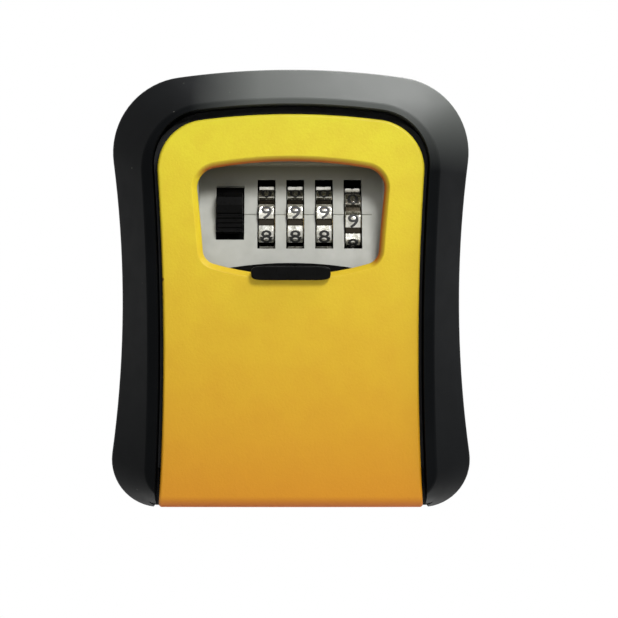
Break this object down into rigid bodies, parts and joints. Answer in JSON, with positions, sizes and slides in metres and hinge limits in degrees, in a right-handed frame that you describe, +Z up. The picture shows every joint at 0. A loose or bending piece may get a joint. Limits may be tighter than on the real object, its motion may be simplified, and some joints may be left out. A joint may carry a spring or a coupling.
{
  "type": "combination key safe",
  "caption": "Wall-mounted key safe with a combination lock, a coated drop-down door, a sliding dial shutter and a moulded surround.",
  "frame": {"origin": "middle of the flat rear face, which sits on the wall", "axes": "+Z up, -Y out of the front, +Y into the wall, +X to the right as seen from the front"},
  "size_m": [0.0948, 0.04, 0.1154],
  "materials": {
    "case_casting": "dark grey die casting, satin",
    "shroud_moulding": "black moulded plastic, satin with a fine grain",
    "door_coating": "yellow-orange powder coat with a fine texture",
    "faceplate_grey": "light grey moulded plastic",
    "dial_plating": "bright plating with black-filled numerals",
    "black_plastic": "black, semi-gloss",
    "plain_steel": "zinc-plated steel",
    "cam_brass": "plain brass"
  },
  "bodies": {
    "case": {"case_body": "case_casting", "shroud": "shroud_moulding", "hinge_pin": "plain_steel", "latch_keeper": "plain_steel", "shroud_screw_1": "plain_steel", "shroud_screw_2": "plain_steel", "shroud_screw_3": "plain_steel", "shroud_screw_4": "plain_steel"},
    "door": {"door_panel": "door_coating", "faceplate": "faceplate_grey", "mechanism_cover": "black_plastic", "cover_screw_1": "plain_steel", "cover_screw_2": "plain_steel", "cover_screw_3": "plain_steel", "cover_screw_4": "plain_steel", "shutter_guide": "plain_steel", "guide_screw_1": "plain_steel", "guide_screw_2": "plain_steel", "click_spring": "plain_steel", "lever_spring": "plain_steel"},
    "shutter": {"shutter": "black_plastic"},
    "lever": {"release_lever": "black_plastic", "latch_plate": "plain_steel", "latch_screw": "plain_steel"},
    "reset": {"spindle": "plain_steel", "reset_lever": "cam_brass"},
    "dial_1": {"dial_1": "dial_plating"},
    "dial_2": {"dial_2": "dial_plating"},
    "dial_3": {"dial_3": "dial_plating"},
    "dial_4": {"dial_4": "dial_plating"},
    "cam_1": {"cam_1": "cam_brass"},
    "cam_2": {"cam_2": "cam_brass"},
    "cam_3": {"cam_3": "cam_brass"},
    "cam_4": {"cam_4": "cam_brass"}
  },
  "joints": [
    {"name": "door_hinge", "type": "hinge", "parent": "case", "child": "door", "pos_m": [0, -0.0323, -0.0532], "axis": [1, 0, 0], "range_deg": [0, 95]},
    {"name": "shutter_slide", "type": "slide", "parent": "door", "child": "shutter", "axis": [0, 0, 1], "range_m": [0, 0.0244]},
    {"name": "lever_slide", "type": "slide", "parent": "door", "child": "lever", "axis": [0, -0.2756, -0.9613], "range_m": [0, 0.003], "stiffness_N_per_m": 300, "springref_m": -0.004, "deforming": ["lever_spring"]},
    {"name": "reset_slide", "type": "slide", "parent": "door", "child": "reset", "axis": [1, 0, 0], "range_m": [0, 0.0018]},
    {"name": "dial_1_turn", "type": "hinge", "parent": "door", "child": "dial_1", "pos_m": [0, -0.02123, 0.01703], "axis": [1, 0, 0], "continuous": true},
    {"name": "dial_2_turn", "type": "hinge", "parent": "door", "child": "dial_2", "pos_m": [0, -0.02123, 0.01703], "axis": [1, 0, 0], "continuous": true},
    {"name": "dial_3_turn", "type": "hinge", "parent": "door", "child": "dial_3", "pos_m": [0, -0.02123, 0.01703], "axis": [1, 0, 0], "continuous": true},
    {"name": "dial_4_turn", "type": "hinge", "parent": "door", "child": "dial_4", "pos_m": [0, -0.02123, 0.01703], "axis": [1, 0, 0], "continuous": true},
    {"name": "cam_1_turn", "type": "hinge", "parent": "reset", "child": "cam_1", "pos_m": [0, -0.02123, 0.01703], "axis": [1, 0, 0], "continuous": true},
    {"name": "cam_2_turn", "type": "hinge", "parent": "reset", "child": "cam_2", "pos_m": [0, -0.02123, 0.01703], "axis": [1, 0, 0], "continuous": true},
    {"name": "cam_3_turn", "type": "hinge", "parent": "reset", "child": "cam_3", "pos_m": [0, -0.02123, 0.01703], "axis": [1, 0, 0], "continuous": true},
    {"name": "cam_4_turn", "type": "hinge", "parent": "reset", "child": "cam_4", "pos_m": [0, -0.02123, 0.01703], "axis": [1, 0, 0], "continuous": true}
  ],
  "couplings": [
    {"joint": "cam_1_turn", "follows": "dial_1_turn", "ratio": 1},
    {"joint": "cam_2_turn", "follows": "dial_2_turn", "ratio": 1},
    {"joint": "cam_3_turn", "follows": "dial_3_turn", "ratio": 1},
    {"joint": "cam_4_turn", "follows": "dial_4_turn", "ratio": 1}
  ]
}
